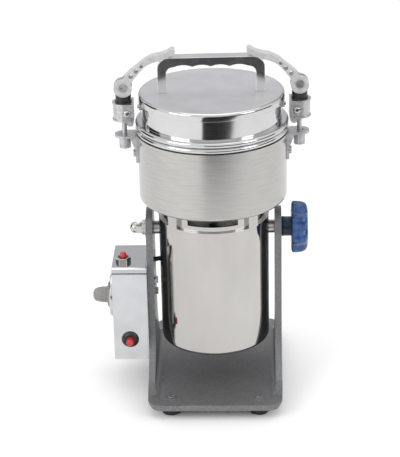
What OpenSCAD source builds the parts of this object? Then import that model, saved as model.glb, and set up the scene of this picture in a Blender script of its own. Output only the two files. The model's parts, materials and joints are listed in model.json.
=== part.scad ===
// Electric grain mill: a tilting milling head in a cast stand, with a bowl, a clamped lid and a control box.
// Millimetres. +Z up, the front is -Y, the control box is on the left (-X). Z is zero on the floor.

/* [Stand] */
// Outer width of the U-shaped stand
stand_width = 142; // [136:1:160]
// Wall of the stand's uprights
stand_wall = 7; // [5:0.5:8]
// Front-to-back depth of the stand's base
base_depth = 200; // [170:1:240]
// Thickness of the stand's base
base_wall = 6.5; // [5:0.5:10]
// Height of the tilting axis above the floor
pivot_height = 176; // [172:1:210]
// Half of an upright's depth, and the radius of its rounded top
upright_half = 22; // [18:1:24]
// Radius of the curve from an upright into the base
flank_radius = 68; // [40:1:72]
// Radius of the casting's outer lower edges
outer_round = 10; // [4:1:14]
// Radius of the casting's inner lower edges
inner_round = 7; // [3:1:12]
// Corner radius of the base seen from above
base_corner = 16; // [6:1:24]
// Length of the oblong cable slot through an upright
slot_length = 22; // [16:1:26]
// Width of the oblong cable slot
slot_width = 9; // [7:0.5:12]
// Drop of the slot's centre below the tilting axis
slot_drop = 36; // [32:1:42]

/* [Feet] */
// Diameter of a rubber foot at the floor
foot_d = 20; // [16:1:26]
// Height of a rubber foot
foot_height = 10; // [6:0.5:14]
// Side inset of a foot's centre from the stand's outer face
foot_inset_x = 25; // [16:1:34]
// Inset of a foot's centre from the base's end
foot_inset_y = 18; // [14:1:30]
// Diameter of a foot screw
foot_screw_d = 4; // [3:0.5:5]

/* [Motor] */
// Outer radius of the motor housing
motor_radius = 58; // [50:0.5:58]
// Sheet thickness of the motor housing
motor_wall = 1.2; // [0.8:0.1:2]
// Depth of the housing below the tilting axis
motor_drop = 124; // [110:1:130]
// Height of the housing above the tilting axis
motor_rise = 17; // [14:1:22]
// Rounding of the housing's bottom edge
motor_round = 4; // [2:0.5:8]
// Radius of the opening in the housing's bottom
motor_mouth = 48; // [42:1:50]
// Height of the collar between motor and bowl
collar_height = 20.5; // [16:0.5:26]
// Outer radius of the collar
collar_radius = 55; // [50:0.5:56]
// Wall of the collar
collar_wall = 2.5; // [2:0.1:4]
// Height of a collar's vent slot
vent_height = 9; // [6:0.5:12]
// Angle that a collar's vent slot spans
vent_angle = 56; // [40:1:62]
// Width of a collar tab
tab_width = 13; // [10:0.5:18]
// Outward reach of a tab beyond the collar
tab_reach = 5; // [3:0.5:7]

/* [Bowl] */
// Outer radius of the milling bowl
bowl_radius = 77; // [72:0.5:80]
// Sheet thickness of the bowl
bowl_wall = 1.5; // [1:0.1:2.5]
// Outer height of the bowl
bowl_depth = 73.5; // [66:0.5:84]
// Rounding of the bowl's bottom edge
bowl_round = 4; // [2:0.5:8]
// Outward reach of the bowl's rolled rim
rim_reach = 2.2; // [1.5:0.1:2.5]
// Height of the bowl's rolled rim
rim_height = 2.4; // [2:0.1:2.6]

/* [Lid] */
// Height of one of the two beads round the lid's flange
bead_height = 6; // [4:0.5:7]
// Outward reach of the flange's beads over the lid's band
bead_reach = 7; // [4:0.5:8]
// Inset of the lid's plain band from the bowl's wall
band_inset = 5; // [3:0.5:7]
// Height of the plain band and the step over it
band_height = 21; // [18:0.5:24]
// Outward reach of the lid's polished top disc over its band
disc_reach = 3; // [1:0.5:4]
// Height of the top disc with its rolled edge
disc_height = 8; // [6:0.5:10]
// Rounding of the top disc's edge
disc_round = 3; // [1.5:0.5:4]
// Sheet thickness of the lid
lid_wall = 1.5; // [1:0.1:2]
// Thickness of the lid's gasket
gasket_height = 2; // [1.5:0.1:3]

/* [Handle] */
// Length of the lid handle
handle_length = 109; // [100:1:116]
// Height of the lid handle
handle_height = 37; // [34:0.5:42]
// Front-to-back width of the handle's channel
handle_depth = 14; // [12:0.5:18]
// Width of a handle leg
leg_width = 9; // [8:0.5:12]
// Depth of the handle's bar above the finger scallops
bar_depth = 10; // [8:0.5:13]
// Distance between finger scallops
scallop_pitch = 18.8; // [17:0.2:19.6]
// Depth of a finger scallop
scallop_rise = 2; // [1:0.1:2.5]
// Rounding of the handle's upper corners
handle_round = 12; // [8:0.5:14]
// Sheet thickness of the handle
handle_wall = 1.6; // [1.2:0.1:2]

/* [Clamps] */
// Distance of a clamp's rod from the bowl's wall
clamp_gap = 13; // [12.5:0.1:15]
// Least distance of a clamp's rod from the end of the lid handle, which the lever passes over
lever_span = 35; // [34:0.5:38]
// Turn of the clamps, lid and handle about the bowl's axis
head_turn = 2; // [0:0.5:12]
// Diameter of a clamp rod
rod_d = 5; // [4:0.5:6]
// Diameter of the round end of a bowl bracket's tongue
tongue_d = 21; // [18:0.5:22]
// Thickness of a bowl bracket
bracket_wall = 2.5; // [2:0.1:3]
// Length of a bowl bracket's leg down the bowl
bracket_leg = 29; // [24:0.5:34]
// Diameter of the rocking nut under the tongue
nut_d = 12; // [10:0.5:12.5]
// Height of the rocking nut
nut_height = 12; // [9:0.5:14]
// Radius of the nut's rounded top, which rocks under the tongue
nut_dome = 8; // [7:0.2:9]
// Front-to-back width of a clamp block
block_depth = 22; // [18:0.5:24]
// Height of a clamp block
block_height = 19; // [15:0.5:21]
// Outward reach of the rims at a block's top and bottom
block_lip = 0.8; // [0.5:0.1:1.5]
// Diameter of the black dished washer
dish_d = 16; // [14:0.5:18]
// Height of the black dished washer
dish_height = 4; // [3:0.2:5]
// Thickness of the steel washer
washer_height = 1.5; // [1:0.1:2]
// Radius of the lever's cam
cam_radius = 9.4; // [8:0.1:10]
// Offset of the cam's pin from its centre
cam_offset = 1.2; // [0.6:0.1:2]
// Width of a lever
lever_width = 12; // [11:0.5:14]
// Inward reach of a lever's tip from its pin
lever_reach = 51.5; // [42:0.5:54]
// Height of a lever's tip over its pin
lever_rise = 39.5; // [32:0.5:46]
// Thickness of a lever beyond its cam
lever_thick = 6.5; // [5:0.5:8]
// Diameter of a lever's pin screw
pin_d = 4; // [3:0.5:4.5]

/* [Pivot] */
// Diameter of the pivot studs
stud_d = 10; // [8:0.5:12]
// Diameter of the spacers beside the motor
spacer_d = 14; // [12:0.5:18]
// Length of the acorn nut
acorn_length = 13.5; // [11:0.5:16]
// Width across flats of the acorn nut
acorn_flats = 13; // [12:0.5:17]
// Diameter of the washers under the acorn nut
pivot_washer_d = 19; // [17:0.5:24]
// Diameter of the lock knob over its lobes
knob_d = 57; // [44:1:62]
// Thickness of the lock knob
knob_height = 17.5; // [14:0.5:22]
// Number of lobes round the lock knob
knob_lobes = 7; // [5:1:9]
// Diameter of the lock knob's neck
neck_d = 21.5; // [17:0.5:26]
// Length of the lock knob's neck
neck_length = 10; // [8:0.5:14]

/* [Controls] */
// Side-to-side width of the control box
box_width = 37; // [32:0.5:42]
// Front-to-back depth of the control box
box_depth = 68; // [60:1:76]
// Height of the control box
box_height = 106; // [96:1:108]
// Drop of the box's top below the tilting axis
box_drop = 33.5; // [32:0.5:38]
// Rounding of the box's upper front and rear edges
box_round = 7; // [3:0.5:10]
// Sheet thickness of the control box
box_wall = 1.2; // [0.8:0.1:1.6]
// Diameter of the raised timer plate
dial_d = 47; // [42:0.5:50]
// Height of the raised timer plate
dial_height = 4.5; // [3:0.5:6]
// Drop of the timer's shaft below the box's top
dial_drop = 45; // [40:0.5:52]
// Diameter of the timer knob's disc
timer_d = 28; // [24:0.5:32]
// Thickness of the timer knob's disc
timer_disc = 2.5; // [2:0.1:4]
// Diameter of the timer knob's grip
grip_d = 17.5; // [15:0.5:22]
// Length of the timer knob's grip
grip_length = 12.5; // [10:0.5:16]
// Diameter of the front bezel
bezel_d = 18.6; // [16:0.2:22]
// Height of the front bezel
bezel_height = 5; // [3:0.5:7]
// Drop of the front button below the box's top
front_drop = 82; // [70:0.5:90]
// Diameter of the front button
front_d = 7.8; // [6:0.2:9]
// Travel of either button
button_travel = 2.5; // [1.5:0.1:3]
// Width across flats of the reset button's nut
reset_flats = 14; // [12:0.5:16]
// Height of the reset button's nut
reset_height = 5; // [4:0.5:7]
// Diameter of the reset button
reset_d = 7; // [5:0.2:8]
// Distance of the reset button in front of the tilting axis
reset_front = 12; // [8:0.5:18]
// Diameter of the power cord's hole in the rear bush
cord_d = 8; // [6:0.2:9]

/* [Drive] */
// Diameter of the motor shaft
shaft_d = 12; // [10:0.5:14]
// Radius of the rotor's core
rotor_radius = 24; // [20:0.5:26]
// Length of the rotor's and stator's iron
iron_length = 46; // [36:1:50]
// Gap between the rotor and the stator
air_gap = 0.8; // [0.5:0.1:1.2]
// Radius of the commutator
commutator_radius = 13; // [11:0.5:15]
// Length of the commutator
commutator_length = 16; // [12:0.5:18]
// Radius of the cooling fan
fan_radius = 44; // [38:0.5:46]
// Height of the cooling fan
fan_height = 9; // [7:0.5:12]
// Number of fan vanes
fan_vanes = 12; // [8:1:16]
// Outer diameter of a motor bearing
bearing_d = 28; // [26:0.5:32]
// Height of a motor bearing
bearing_height = 8; // [6:0.5:10]
// Clearance between the lower blade's tips and the bowl's wall
blade_clearance = 9.5; // [5:0.5:17]
// Width of a milling blade
blade_width = 22; // [16:0.5:26]
// Thickness of a milling blade
blade_wall = 2.5; // [1.5:0.1:3.5]
// Height of the lower blade over the bowl's floor
blade_height = 8; // [6:0.5:14]
// Height of the spacer between the blades
blade_gap = 16; // [12:0.5:24]

/* [Hidden] */
// Overrun of every cut
over = 1;
// Running clearance, on the radius
run = 0.05;
// Gap between pieces that pass each other
gap = 0.3;
$fn = 96;
// Facets of a small round
fine = 48;

// Diameter of the motor lead, the radius that it droops on, and the angle it turns through
lead_d = 5;
lead_radius = 44;
lead_angle = 27;
// Wall of the small tubes and necks, and of the bearing seats
tube_wall = 2;
boss_wall = 3;
// Diameter of the cord bush's flange
bush_d = 16;
// Body width of a breaker, and the depth of its button's bore. It ends short of the timer's body
breaker_w = 18;
button_bore = 16;
breaker_depth = dial_drop - box_wall - (dial_d / 2 - dial_height) - 2 * over;
// Radius of the bezel's dome
bezel_dome = 12;
// Depth of the timer's body, and the diameter of the knob's stem in it
timer_depth = 24;
timer_stem_d = 6;
// Number of flutes round the timer knob's grip
grip_flutes = 18;
// Rounding of the lock knob's outer edge, and the radius of a hollow between lobes
knob_round = 7;
knob_scallop = 9;
// Length of a vent in the bottom cover
cover_slot = 20;
// Thickness of the windings' end turns
end_turn_d = 10;
// Steps along a lever, and where its middle line's two guide points lie, as shares of reach and rise
lever_steps = 32;
lever_shares = [0.3, 0.62, 0.5, 0.5];

// Levels above the floor
base_top = foot_height + base_wall;
motor_bottom = pivot_height - motor_drop;
motor_top = pivot_height + motor_rise;
bowl_bottom = motor_top + collar_height;
rim_level = bowl_bottom + bowl_depth;
flange_top = rim_level + 2 * bead_height;
disc_bottom = flange_top + band_height;
lid_top = disc_bottom + disc_height;
box_top = pivot_height - box_drop;
box_bottom = box_top - box_height;
// The clamps' levels: the nut's rounded top has the axis that the clamp swings about as its own
tongue_top = rim_level - rim_height - gap - over;
tongue_bottom = tongue_top - bracket_wall;
swing_level = tongue_bottom - gap - nut_dome;
block_bottom = flange_top;
block_top = block_bottom + block_height;
cam_level = block_top + dish_height + washer_height + gap + cam_radius;
pin_level = cam_level + cam_offset;
// Sideways places
half_out = stand_width / 2;
half_in = half_out - stand_wall;
box_right = half_out;
box_left = box_right + box_width;
dial_face = box_left + dial_height;
knob_face = half_out + gap;
knob_end = knob_face + neck_length + knob_height;
// The lid and the clamps follow the bowl, and the clamps keep clear of the handle too
bowl_inner = bowl_radius - bowl_wall;
band_radius = bowl_radius - band_inset;
disc_radius = band_radius + disc_reach;
clamp_reach = max(bowl_radius + clamp_gap, handle_length / 2 + lever_span);
blade_reach = bowl_inner - blade_clearance;
// The widest reach each way, and the shift that centres the whole mill on X
left_reach = dial_face + gap + timer_disc + grip_length;
right_reach = max(knob_end, clamp_reach * cos(head_turn) + block_depth / 2 + block_lip);
shift_x = (left_reach - right_reach) / 2;
flange_radius = band_radius + bead_reach;
block_inner = flange_radius + 2 * gap;
// Controls
dial_level = box_top - dial_drop;
front_level = box_top - front_drop;
front_x = -(half_out + box_left) / 2 - box_wall;
reset_x = -(half_out + box_left) / 2 - reset_d;
control_neck_d = reset_d + 2 * tube_wall;
front_neck_d = front_d + 2 * tube_wall;
bush_x = -(half_out + box_left) / 2;
bush_level = box_bottom + bush_d;
slot_level = pivot_height - slot_drop;
lead_level = slot_level;
// Small screws: head height, and the share of a head that its recess takes
head_height = 2.2;
recess_share = 0.16;
// Places of the control box's screws: front to back, and drop below the tilting axis
box_screw_d = 4;
box_screws_at = [[-upright_half / 2 - over, slot_drop + slot_length - over],
    [upright_half / 2 + over, slot_drop + slot_length + slot_width],
    [upright_half / 2 + over, slot_drop + 2 * slot_length]];
// Drive levels. The lower end turns stay clear of the brush holders
brush_width = 8;
bottom_seat = motor_bottom + motor_wall;
cover_wall = 2.5;
lower_bearing = bottom_seat + cover_wall;
commutator_bottom = lower_bearing + bearing_height + tube_wall;
iron_bottom = commutator_bottom + commutator_length / 2 + brush_width / 2 + tube_wall + gap + end_turn_d;
iron_top = iron_bottom + iron_length;
end_turn_radius = rotor_radius + air_gap + end_turn_d / 2 + tube_wall;
fan_bottom = iron_top + end_turn_d + tube_wall;
plate_wall = 4;
upper_bearing = motor_top - plate_wall - bearing_height;
floor_top = bowl_bottom + bowl_wall;
blade_level = floor_top + blade_height;
upper_blade_level = blade_level + blade_wall + blade_gap;
hub_radius = shaft_d / 2 + boss_wall + tube_wall;
blade_nut_height = shaft_d * 0.9;
brush_level = commutator_bottom + commutator_length / 2;
brush_length = 14;
holder_foot = commutator_radius + tube_wall + brush_length / 2;
stud_inner = motor_radius - motor_wall - boss_wall;
acorn_seat = half_out + gap + washer_height + boss_wall;
rivet_level = tongue_top - bracket_leg + tongue_d / 3;
gasket_inner = bowl_inner - tube_wall;
gasket_outer = bowl_radius + rim_reach - tube_wall - over;
seal_radius = shaft_d / 2 + 2 * boss_wall;
bolt_circle = collar_radius - collar_wall + tab_reach / 2;
bowl_screw_d = 4;
// Handle
gap_width = handle_length - 2 * leg_width;
gap_height = handle_height - bar_depth;
scallop_radius = (scallop_pitch * scallop_pitch / scallop_rise / 4 + scallop_rise) / 2;
// Clamps
eye_width = 5;
eye_d = 8.4;
lug_d = 8;
pin_head_d = 8.5;
dish_angle = 35;
// Holes along a lever: their places as shares of it, and their diameters
lever_hole_shares = [0.2, 0.33, 0.45];
lever_hole_d = [5, 4.5, 3.5];
slope_share = 0.01;

// Everything of the mill is drawn about the tilting axis's middle, and shifted once
module mill() translate([shift_x, 0, 0]) children();
module at_pivot() translate([0, 0, pivot_height]) children();
// side -1 is left and 1 is right: local +X points outward, and local Y is level
module out(side) rotate([0, 0, side < 0 ? 180 : 0]) children();
module at_clamp(side) rotate([0, 0, head_turn]) out(side) children();
// A bar along local X
module bar_x(d, from, to) translate([from, 0, 0]) rotate([0, 90, 0]) cylinder(d = d, h = to - from);
// A bar along local Y, centred
module bar_y(d, length) rotate([90, 0, 0]) cylinder(d = d, h = length, center = true);
module tube(ro, ri, from, to) translate([0, 0, from]) difference() {
    cylinder(r = ro, h = to - from);
    translate([0, 0, -over]) cylinder(r = ri, h = to - from + 2 * over);
}
// A flat rectangle, rounded at its lower or upper corners
module round_base(w, h, r) {
    translate([-w / 2, r]) square([w, h - r]);
    translate([-w / 2 + r, 0]) square([w - 2 * r, h]);
    for (s = [-1, 1]) translate([s * (w / 2 - r), r]) circle(r = r);
}
module round_top(w, h, r) translate([0, h]) mirror([0, 1]) round_base(w, h, r);
// Half of a cup's section, for a revolve
module cup_section(r, h, bend) {
    square([r - bend, h]);
    translate([0, bend]) square([r, h - bend]);
    translate([r - bend, bend]) circle(r = bend);
}
module cup(r, h, bend, wall, mouth) rotate_extrude() intersection() {
    difference() {
        cup_section(r, h, bend);
        translate([0, wall]) cup_section(r - wall, h, bend - wall);
    }
    translate([mouth, 0]) square([r, h]);
}
module screw(d, length, head_d) {
    cylinder(d = d, h = length, $fn = fine);
    translate([0, 0, -head_height]) difference() {
        cylinder(d = head_d, h = head_height, $fn = fine);
        for (a = [0, 90]) rotate([0, 0, a])
            cube([head_d * 3 * recess_share, head_d * recess_share, head_height], center = true);
    }
}
module hex(flats, height) cylinder(d = flats / cos(30), h = height, $fn = 6);

// Stand
module upright_side() {
    translate([-upright_half, foot_height]) square([2 * upright_half, pivot_height - foot_height]);
    translate([0, pivot_height]) circle(r = upright_half);
    translate([-base_depth / 2, foot_height]) square([base_depth, base_wall]);
    for (s = [-1, 1]) difference() {
        translate([s > 0 ? 0 : -upright_half - flank_radius, foot_height])
            square([upright_half + flank_radius, base_wall + flank_radius]);
        translate([s * (upright_half + flank_radius), base_top + flank_radius]) circle(r = flank_radius);
    }
}
module stand_profile() difference() {
    translate([0, foot_height]) round_base(stand_width, pivot_height + upright_half, outer_round);
    translate([0, base_top]) round_base(2 * half_in, pivot_height + upright_half, inner_round);
}
module base_plan(height) linear_extrude(height) difference() {
    square([stand_width, base_depth], center = true);
    for (x = [-1, 1], y = [-1, 1]) translate([x * stand_width / 2, y * base_depth / 2]) difference() {
        square(2 * base_corner, center = true);
        translate([-x * base_corner, -y * base_corner]) circle(r = base_corner);
    }
}
module foot_places() for (x = [-1, 1], y = [-1, 1])
    translate([x * (half_out - foot_inset_x), y * (base_depth / 2 - foot_inset_y), 0]) children();
module box_screw_places() for (p = box_screws_at)
    translate([-half_in, p[0], pivot_height - p[1]]) rotate([0, -90, 0]) children();
module stand() color("#5f6062") mill() difference() {
    intersection() {
        rotate([90, 0, 0]) linear_extrude(base_depth + 2 * over, center = true) stand_profile();
        rotate([90, 0, 90]) linear_extrude(stand_width + 2 * over, center = true) upright_side();
        base_plan(pivot_height + upright_half + over);
    }
    at_pivot() bar_x(stud_d + 2 * tube_wall + 2 * run, -half_out - over, half_out + over);
    for (s = [-1, 1]) hull() for (z = [-1, 1])
        translate([0, 0, slot_level + z * (slot_length - slot_width) / 2]) out(s)
            bar_x(slot_width, half_in - over, half_out + over, $fn = 32);
    foot_places() translate([0, 0, foot_height - over])
        cylinder(d = foot_screw_d + 2 * run, h = base_wall + 2 * over, $fn = fine);
    box_screw_places() translate([0, 0, -over])
        cylinder(d = box_screw_d + 2 * run, h = stand_wall + 2 * over, $fn = fine);
}
module feet() color("#1b1b1c") mill() foot_places() difference() {
    rotate_extrude() round_side_foot();
    translate([0, 0, -over]) cylinder(d = 2 * foot_screw_d + over, h = foot_height / 2 + over, $fn = fine);
    cylinder(d = foot_screw_d + 2 * run, h = foot_height + over, $fn = fine);
}
module round_side_foot() {
    square([foot_d / 2 - over, foot_height]);
    translate([0, over]) square([foot_d / 2, foot_height - over]);
    translate([foot_d / 2 - over, over]) circle(r = over, $fn = fine);
}
module foot_screws() color("#b9babc") mill() foot_places() {
    translate([0, 0, foot_height / 2 - head_height]) cylinder(d = 2 * foot_screw_d, h = head_height, $fn = fine);
    translate([0, 0, foot_height / 2 - over]) cylinder(d = foot_screw_d, h = base_top - foot_height / 2 + over, $fn = fine);
    translate([0, 0, base_top]) difference() {
        cylinder(d = 2 * foot_screw_d, h = head_height, $fn = fine);
        translate([0, 0, head_height]) cube([2 * foot_screw_d, foot_screw_d / 4, head_height], center = true);
    }
}
module box_screws() color("#8d8e90") mill() box_screw_places() {
    screw(box_screw_d, stand_wall + 2 * box_wall + head_height, 2 * box_screw_d);
    translate([0, 0, stand_wall + box_wall]) cylinder(d = 2 * box_screw_d, h = head_height, $fn = fine);
}
module pivot_bushes() color("#c9a55a") mill() at_pivot() for (s = [-1, 1]) out(s) difference() {
    bar_x(stud_d + 2 * tube_wall, half_in, half_out);
    bar_x(stud_d + 2 * run, half_in - over, half_out + over);
}

// Control box
module box_shape(inset, from, to) translate([-to, 0, box_bottom + inset]) rotate([90, 0, 90])
    linear_extrude(to - from) round_top(box_depth - 2 * inset, box_height - 2 * inset, box_round - inset);
module control_box() color("#c4c5c8") mill() difference() {
    box_shape(0, half_out + box_wall, box_left);
    box_shape(box_wall, half_out + box_wall - over, box_left - box_wall);
    translate([0, 0, dial_level]) bar_x(control_neck_d + 2 * run, -box_left - over, -box_left + box_wall + over);
    translate([front_x, -box_depth / 2, front_level]) bar_y(front_neck_d + 2 * run, 4 * box_wall);
    translate([reset_x, -reset_front, box_top - box_wall - over])
        cylinder(d = control_neck_d + 2 * run, h = box_wall + 2 * over);
    translate([bush_x, box_depth / 2, bush_level]) bar_y(bush_d - 2 * tube_wall + 2 * run, 4 * box_wall);
}
module box_plate() color("#9b9ca0") mill() difference() {
    box_shape(0, half_out, half_out + box_wall);
    translate([0, 0, lead_level - lead_d]) bar_x(lead_d + 2 * tube_wall, -half_out - box_wall - over, -half_out + over);
    box_screw_places() cylinder(d = box_screw_d + 2 * run, h = stand_wall + box_wall + over, $fn = fine);
}
module cord_bush() color("#222223") mill() translate([bush_x, box_depth / 2, bush_level])
    rotate([-90, 0, 0]) difference() {
        union() {
            cylinder(d = bush_d, h = dial_height);
            translate([0, 0, -2 * box_wall]) cylinder(d = bush_d - 2 * tube_wall, h = 2 * box_wall + over);
        }
        translate([0, 0, -2 * box_wall - over]) cylinder(d = cord_d, h = dial_height + 2 * box_wall + 2 * over);
    }
// A button: a domed head on a stem, drawn along +Z from its seat
module button(d, out_length, in_length) {
    translate([0, 0, -in_length]) cylinder(d = d, h = in_length + out_length - over, $fn = fine);
    translate([0, 0, out_length - over]) cylinder(d1 = d, d2 = d - 2 * over, h = over, $fn = fine);
}
module reset_nut() color("#d2d3d6") mill() translate([reset_x, -reset_front, box_top]) difference() {
    intersection() {
        hex(reset_flats, reset_height);
        union() {
            cylinder(d = reset_flats + 2 * over, h = reset_height - over);
            translate([0, 0, reset_height - over])
                cylinder(d1 = reset_flats + 2 * over, d2 = reset_flats - over, h = over);
        }
    }
    translate([0, 0, -over]) cylinder(d = control_neck_d + 2 * run, h = reset_height + 2 * over);
}
module breaker(w, depth, neck_d, neck_length, bore_d, bore_depth) difference() {
    union() {
        translate([-w / 2, -w / 2, -depth]) cube([w, w, depth]);
        translate([0, 0, -over]) cylinder(d = neck_d, h = neck_length + over);
    }
    translate([0, 0, neck_length - bore_depth]) cylinder(d = bore_d + 2 * run, h = bore_depth + over);
}
module breakers() color("#2b2b2d") mill() {
    translate([reset_x, -reset_front, box_top - box_wall])
        breaker(breaker_w, breaker_depth, control_neck_d, box_wall + reset_height, reset_d, button_bore);
    translate([front_x, -box_depth / 2 + box_wall, front_level]) rotate([90, 0, 0])
        breaker(breaker_w, breaker_depth, front_neck_d, box_wall + bezel_height / 2, front_d, button_bore);
}
module bezel() color("#18181a") mill() translate([front_x, -box_depth / 2, front_level]) rotate([90, 0, 0])
    difference() {
        intersection() {
            cylinder(d = bezel_d, h = bezel_height);
            translate([0, 0, bezel_height - bezel_dome]) sphere(r = bezel_dome);
        }
        translate([0, 0, -over]) cylinder(d = front_neck_d + 2 * run, h = bezel_height + 2 * over);
    }
module timer_plate() color("#b5b6b9") mill() translate([-box_left, 0, dial_level]) rotate([0, -90, 0])
    difference() {
        union() {
            cylinder(d = dial_d, h = dial_height - over);
            translate([0, 0, dial_height - over]) cylinder(d1 = dial_d, d2 = dial_d - 2 * over, h = over);
        }
        translate([0, 0, -over]) cylinder(d = control_neck_d + 2 * run, h = dial_height + 2 * over);
    }
module timer_body() color("#6d6e70") mill() translate([-box_left + box_wall, 0, dial_level]) rotate([0, -90, 0])
    difference() {
        union() {
            translate([0, 0, -timer_depth]) cylinder(d = dial_d - 2 * dial_height, h = timer_depth);
            translate([0, 0, -over]) cylinder(d = control_neck_d, h = box_wall + dial_height + over);
        }
        translate([0, 0, -timer_depth / 2]) cylinder(d = timer_stem_d + 2 * run, h = timer_depth + dial_height);
    }
module reset_button() color("#c22a27") mill() translate([reset_x, -reset_front, box_top + reset_height])
    button(reset_d, reset_height, button_bore - button_travel - gap);
module front_button() color("#c22a27") mill()
    translate([front_x, -box_depth / 2 - bezel_height / 2, front_level]) rotate([90, 0, 0])
        button(front_d, bezel_height + button_travel, button_bore - button_travel - gap);
module timer_knob() color("#8f8c89") mill() translate([-dial_face - gap, 0, dial_level]) rotate([0, -90, 0]) {
    translate([0, 0, -timer_depth / 2]) cylinder(d = timer_stem_d, h = timer_depth / 2 + over);
    cylinder(d = timer_d, h = timer_disc - over);
    translate([0, 0, timer_disc - over]) cylinder(d1 = timer_d, d2 = timer_d - 2 * over, h = over);
    difference() {
        cylinder(d = grip_d, h = timer_disc + grip_length);
        for (a = [0:360 / grip_flutes:359]) rotate([0, 0, a])
            translate([grip_d / 2 + over / 2, 0, timer_disc])
                cylinder(d = 2 * over, h = grip_length + over, $fn = fine / 2);
    }
    translate([timer_d / 4 - over, -over / 2, timer_disc + grip_length - over]) cube([grip_d / 4, over, over]);
}

// Pivot
module spacers() color("#a9aaad") mill() at_pivot() for (s = [-1, 1]) out(s) difference() {
    bar_x(spacer_d, motor_radius - tube_wall, half_in - gap);
    translate([0, 0, -spacer_d]) cylinder(r = motor_radius + run, h = 2 * spacer_d, $fn = 2 * $fn);
    bar_x(stud_d + 2 * run, motor_radius - boss_wall, half_in + over);
}
module studs() color("#b9babc") mill() at_pivot() for (s = [-1, 1]) out(s) {
    bar_x(stud_d, stud_inner, s < 0 ? acorn_seat + acorn_length - acorn_flats / 2 : knob_end - tube_wall - gap);
    difference() {
        bar_x(stud_d + 2 * boss_wall, stud_inner - boss_wall, motor_radius);
        translate([0, 0, -stud_d]) difference() {
            cylinder(r = 2 * motor_radius, h = 2 * stud_d);
            cylinder(r = motor_radius - motor_wall - run, h = 2 * stud_d, $fn = 2 * $fn);
        }
    }
}
module pivot_washers() color("#c9cacd") mill() at_pivot() out(-1) difference() {
    union() {
        bar_x(pivot_washer_d, half_out + gap, half_out + gap + washer_height);
        bar_x(pivot_washer_d - boss_wall, half_out + gap + washer_height, acorn_seat);
    }
    bar_x(stud_d + 2 * run, half_out, acorn_seat + over);
}
module acorn_nut() color("#d8d9dc") mill() at_pivot() out(-1) translate([acorn_seat, 0, 0]) rotate([0, 90, 0])
    difference() {
        union() {
            hex(acorn_flats, acorn_length - acorn_flats / 2 - tube_wall / 2);
            cylinder(d = acorn_flats - over / 2, h = acorn_length - acorn_flats / 2);
            translate([0, 0, acorn_length - acorn_flats / 2]) sphere(d = acorn_flats - over / 2);
        }
        translate([0, 0, -over]) cylinder(d = stud_d + 2 * run, h = acorn_length - acorn_flats / 2 + over + run);
    }
module lock_knob() color("#1f4e8c") mill() at_pivot() translate([knob_face, 0, 0]) rotate([0, 90, 0]) difference() {
    union() {
        cylinder(d = neck_d, h = neck_length + over);
        translate([0, 0, neck_length]) intersection() {
            rotate_extrude() mirror([0, 1]) translate([0, -knob_height])
                cup_section(knob_d / 2, knob_height, knob_round);
            linear_extrude(knob_height) difference() {
                circle(d = knob_d);
                for (i = [0:knob_lobes - 1]) rotate([0, 0, (i + 0.5) * 360 / knob_lobes])
                    translate([knob_d / 2 + knob_scallop * 2 / 3, 0]) circle(r = knob_scallop);
            }
        }
    }
    translate([0, 0, -over]) cylinder(d = stud_d + 2 * run, h = knob_end - knob_face - tube_wall + over);
}

// Motor
module motor_housing() color("#c6c7ca") mill() difference() {
    translate([0, 0, motor_bottom]) cup(motor_radius, motor_top - motor_bottom, motor_round, motor_wall, motor_mouth);
    at_pivot() bar_x(stud_d + 2 * run, -motor_radius - over, motor_radius + over);
    translate([0, 0, lead_level]) bar_x(lead_d + 2 * gap, -motor_radius - over, -motor_radius / 2);
}
module bottom_cover() color("#2a2a2c") mill() difference() {
    union() {
        translate([0, 0, bottom_seat]) cylinder(r = motor_mouth + boss_wall, h = cover_wall);
        tube(bearing_d / 2 + boss_wall, bearing_d / 2 + run, bottom_seat, lower_bearing + bearing_height);
    }
    for (a = [0:30:359]) rotate([0, 0, a]) translate([bearing_d / 2 + 2 * boss_wall, 0, bottom_seat - over]) {
        translate([0, -tube_wall, 0]) cube([cover_slot, 2 * tube_wall, cover_wall + 2 * over]);
        for (x = [0, cover_slot]) translate([x, 0, 0]) cylinder(r = tube_wall, h = cover_wall + 2 * over, $fn = fine);
    }
    translate([0, 0, bottom_seat + cover_wall]) cylinder(r = bearing_d / 2 + run, h = motor_drop);
}
module end_plate() color("#9fa0a3") mill() difference() {
    union() {
        translate([0, 0, motor_top - plate_wall]) cylinder(r = motor_radius - motor_wall - run, h = plate_wall);
        tube(bearing_d / 2 + boss_wall, bearing_d / 2 + run, upper_bearing, motor_top - plate_wall + over);
    }
    translate([0, 0, upper_bearing - over]) cylinder(r = shaft_d / 2 + gap, h = motor_rise + plate_wall + over);
    for (a = [0:60:359]) rotate([0, 0, a + 30]) translate([motor_radius * 0.6, 0, motor_top - plate_wall - over])
        cylinder(d = vent_height, h = plate_wall + 2 * over, $fn = fine);
}
module stator() color("#8b8782") mill() translate([0, 0, iron_bottom]) difference() {
    intersection() {
        cylinder(r = motor_radius - motor_wall - run, h = iron_length);
        translate([0, 0, iron_length / 2]) cube([2 * motor_radius, 2 * motor_mouth, 2 * iron_length], center = true);
    }
    translate([0, 0, -over]) cylinder(r = rotor_radius + air_gap, h = iron_length + 2 * over);
}
module windings() color("#a5542a") mill() for (z = [iron_bottom - end_turn_d / 2, iron_top + end_turn_d / 2])
    translate([0, 0, z]) rotate_extrude() translate([end_turn_radius, 0]) intersection() {
        circle(d = end_turn_d, $fn = fine);
        square([2 * end_turn_d, end_turn_d], center = true);
    }
module bearings() color("#cfd0d3") mill() for (z = [lower_bearing, upper_bearing])
    tube(bearing_d / 2, shaft_d / 2 + run, z, z + bearing_height, $fn = $fn);
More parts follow.
